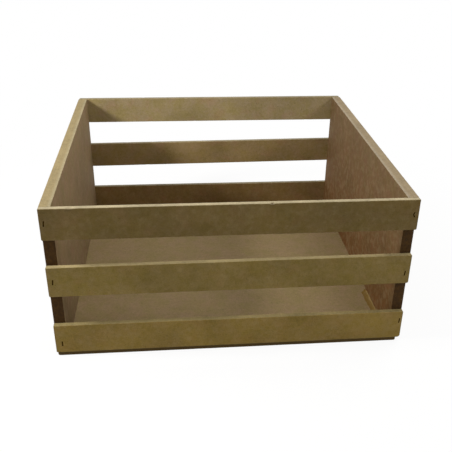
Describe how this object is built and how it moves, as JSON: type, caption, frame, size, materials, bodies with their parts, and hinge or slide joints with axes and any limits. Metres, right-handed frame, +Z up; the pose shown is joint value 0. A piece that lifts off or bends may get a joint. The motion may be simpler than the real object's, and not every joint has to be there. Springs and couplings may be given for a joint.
{
  "type": "open slatted fibreboard crate",
  "caption": "Open-topped crate of raw fibreboard: solid side panels, spaced slats lapped across front and back, and a thin base sheet, glued and stapled, for storing or carrying small things.",
  "frame": {"origin": "middle of the footprint, on the surface that the crate stands on", "axes": "+X along the slats, to the right of someone facing the front; -Y is the front; +Z is up"},
  "size_m": [0.3802, 0.372, 0.1746],
  "materials": {
    "slat_board": "raw fibreboard, sawn edges, uncoated",
    "panel_board": "raw fibreboard, sawn edges, uncoated",
    "base_board": "raw thin fibreboard with dark sawn edges, uncoated",
    "staple_steel": "steel wire, dulled brown"
  },
  "bodies": {
    "root": {"base_panel": "base_board", "left_side_panel": "panel_board", "right_side_panel": "panel_board", "front_slat_top": "slat_board", "front_slat_middle": "slat_board", "front_slat_bottom": "slat_board", "back_slat_top": "slat_board", "back_slat_middle": "slat_board", "back_slat_bottom": "slat_board", "front_staple_top_left": "staple_steel", "front_staple_top_right": "staple_steel", "front_staple_middle_left": "staple_steel", "front_staple_middle_right": "staple_steel", "front_staple_bottom_left": "staple_steel", "front_staple_bottom_right": "staple_steel", "back_staple_top_left": "staple_steel", "back_staple_top_right": "staple_steel", "back_staple_middle_left": "staple_steel", "back_staple_middle_right": "staple_steel", "back_staple_bottom_left": "staple_steel", "back_staple_bottom_right": "staple_steel", "base_staple_left_1": "staple_steel", "base_staple_left_2": "staple_steel", "base_staple_left_3": "staple_steel", "base_staple_left_4": "staple_steel", "base_staple_right_1": "staple_steel", "base_staple_right_2": "staple_steel", "base_staple_right_3": "staple_steel", "base_staple_right_4": "staple_steel"}
  },
  "joints": []
}
